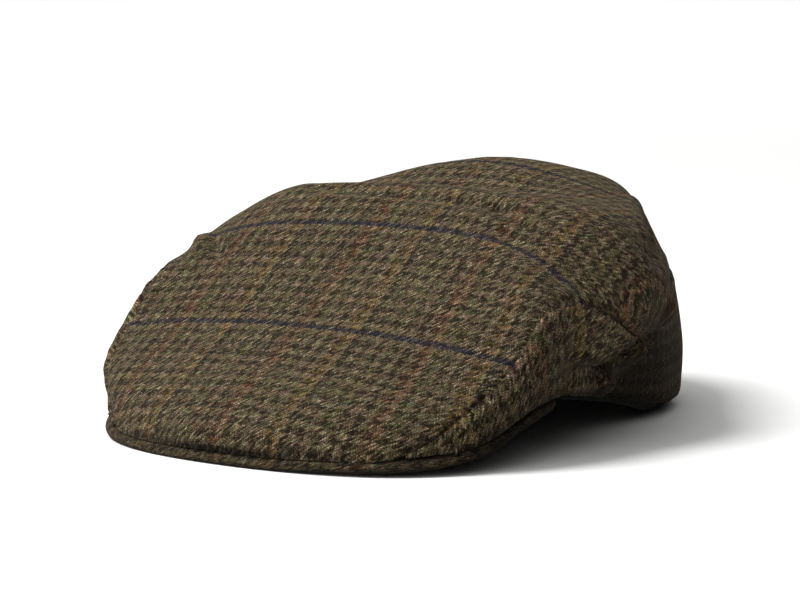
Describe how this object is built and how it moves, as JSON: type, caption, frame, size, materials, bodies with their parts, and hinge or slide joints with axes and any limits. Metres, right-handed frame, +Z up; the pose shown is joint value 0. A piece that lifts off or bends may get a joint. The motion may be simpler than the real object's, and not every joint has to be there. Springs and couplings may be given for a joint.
{
  "type": "flat cap",
  "caption": "Soft tweed flat cap with a short stiff peak, a sagging crown of sewn panels and a dark sweatband inside the head opening.",
  "frame": {"origin": "centre of the bounding box, on the surface the cap rests on", "axes": "+Z up, the peak points toward -Y, the wearer's left is +X"},
  "size_m": [0.2132, 0.2674, 0.1035],
  "materials": {
    "tweed": "matt woollen check",
    "sweatband": "matt ribbed band"
  },
  "bodies": {
    "root": {"top_panel": "tweed", "side_panel_left": "tweed", "side_panel_right": "tweed", "peak": "tweed", "sweatband": "sweatband"}
  },
  "joints": []
}
